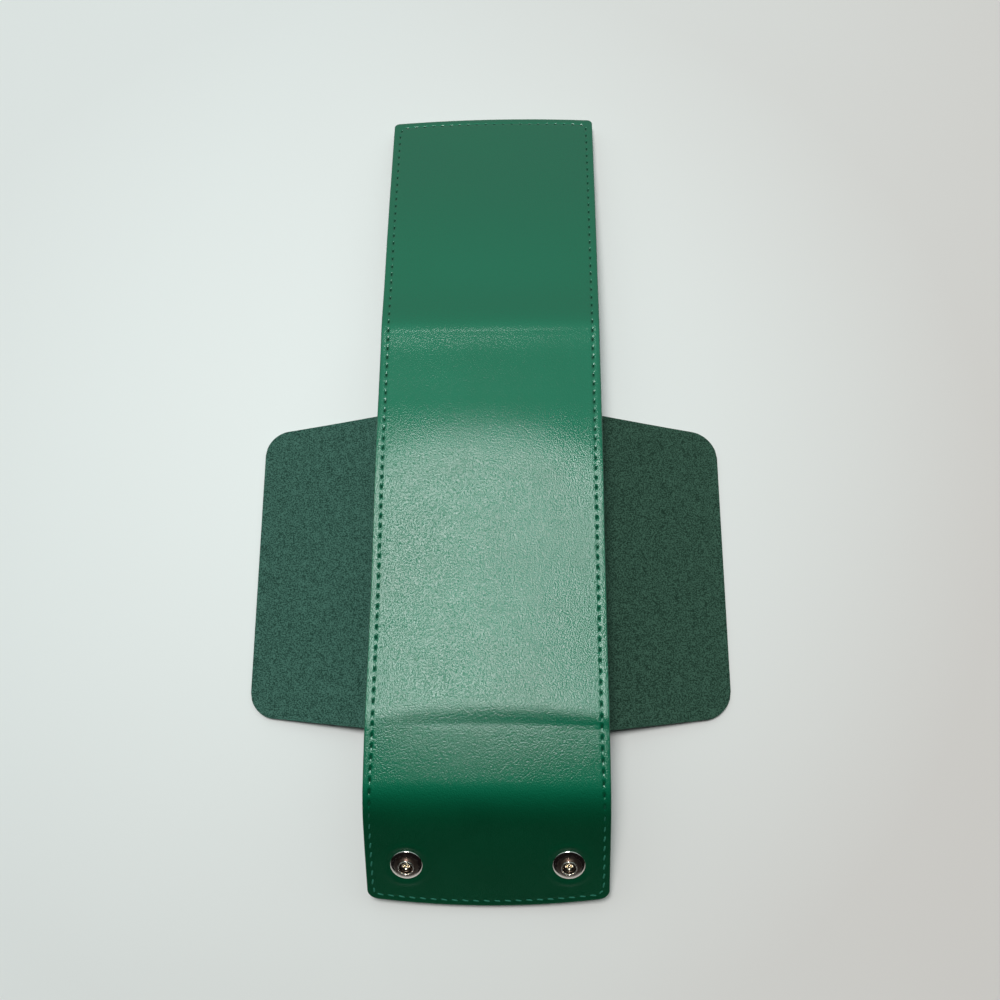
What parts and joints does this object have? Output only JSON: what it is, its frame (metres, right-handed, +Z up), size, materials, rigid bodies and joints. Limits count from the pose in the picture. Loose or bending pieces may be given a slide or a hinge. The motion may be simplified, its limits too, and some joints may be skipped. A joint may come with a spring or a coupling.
{
  "type": "watch travel pouch",
  "caption": "Folding leather watch travel pouch, lying open: creased strip with lid and snap flap, and suede side wings that fold over the watch.",
  "frame": {"origin": "bottom centre of the pouch's bounding box as it lies open, on the table", "axes": "+Y along the strip toward the lid's end, +X to the right seen from above with the lid away, +Z up out of the leather side"},
  "size_m": [0.158, 0.2798, 0.0239],
  "materials": {
    "leather": "fine pebbled grain, satin",
    "lining": "short-nap microfibre suede",
    "suede": "short-nap microfibre suede",
    "board": "pressed fibre board, matt",
    "thread": "waxed polyester thread",
    "nickel": "polished nickel plate",
    "brass": "plated brass, polished",
    "spring_steel": "drawn wire"
  },
  "bodies": {
    "back": {"back_leather": "leather", "back_lining": "lining", "back_board": "board", "left_back_seam": "thread", "right_back_seam": "thread"},
    "top_spine": {"top_spine_leather": "leather", "top_spine_lining": "lining", "top_spine_board": "board", "left_top_spine_seam": "thread", "right_top_spine_seam": "thread"},
    "lid": {"lid_leather": "leather", "lid_lining": "lining", "lid_board": "board", "lid_seam": "thread", "left_socket": "nickel", "right_socket": "nickel", "left_socket_spring": "spring_steel", "right_socket_spring": "spring_steel", "left_socket_cap": "brass", "right_socket_cap": "brass"},
    "bottom_spine": {"bottom_spine_leather": "leather", "bottom_spine_lining": "lining", "bottom_spine_board": "board", "left_bottom_spine_seam": "thread", "right_bottom_spine_seam": "thread"},
    "front_flap": {"front_flap_leather": "leather", "front_flap_lining": "lining", "front_flap_board": "board", "front_flap_seam": "thread", "left_stud": "nickel", "right_stud": "nickel", "left_stud_post": "brass", "right_stud_post": "brass"},
    "left_gusset": {"left_gusset": "suede"},
    "right_gusset": {"right_gusset": "suede"},
    "left_wing": {"left_wing": "suede"},
    "right_wing": {"right_wing": "suede"}
  },
  "joints": [
    {"name": "top_inner_fold", "type": "hinge", "parent": "back", "child": "top_spine", "pos_m": [0, 0.01981, 0.01548], "axis": [-1, 0, 0], "range_deg": [-2, 92.42]},
    {"name": "top_outer_fold", "type": "hinge", "parent": "top_spine", "child": "lid", "pos_m": [0, 0.04591, 0.01529], "axis": [-1, 0, 0], "range_deg": [-10, 81.92]},
    {"name": "bottom_inner_fold", "type": "hinge", "parent": "back", "child": "bottom_spine", "pos_m": [0, -0.08676, 0.02077], "axis": [1, 0, 0], "range_deg": [-8, 83.86]},
    {"name": "bottom_outer_fold", "type": "hinge", "parent": "bottom_spine", "child": "front_flap", "pos_m": [0, -0.10643, 0.01963], "axis": [1, 0, 0], "range_deg": [-30, 61.82]},
    {"name": "left_gusset_fold", "type": "hinge", "parent": "back", "child": "left_gusset", "pos_m": [-0.0355, -0.08678, 0.02047], "axis": [0, -0.9988, 0.0495], "range_deg": [-90, 8]},
    {"name": "left_wing_fold", "type": "hinge", "parent": "left_gusset", "child": "left_wing", "pos_m": [-0.0355, -0.08694, 0.00496], "axis": [0, -1, 0], "range_deg": [-15, 165]},
    {"name": "right_gusset_fold", "type": "hinge", "parent": "back", "child": "right_gusset", "pos_m": [0.0355, -0.08678, 0.02047], "axis": [0, 0.9988, -0.0495], "range_deg": [-90, 8]},
    {"name": "right_wing_fold", "type": "hinge", "parent": "right_gusset", "child": "right_wing", "pos_m": [0.0355, -0.08694, 0.00496], "axis": [0, 1, 0], "range_deg": [-15, 162]}
  ]
}
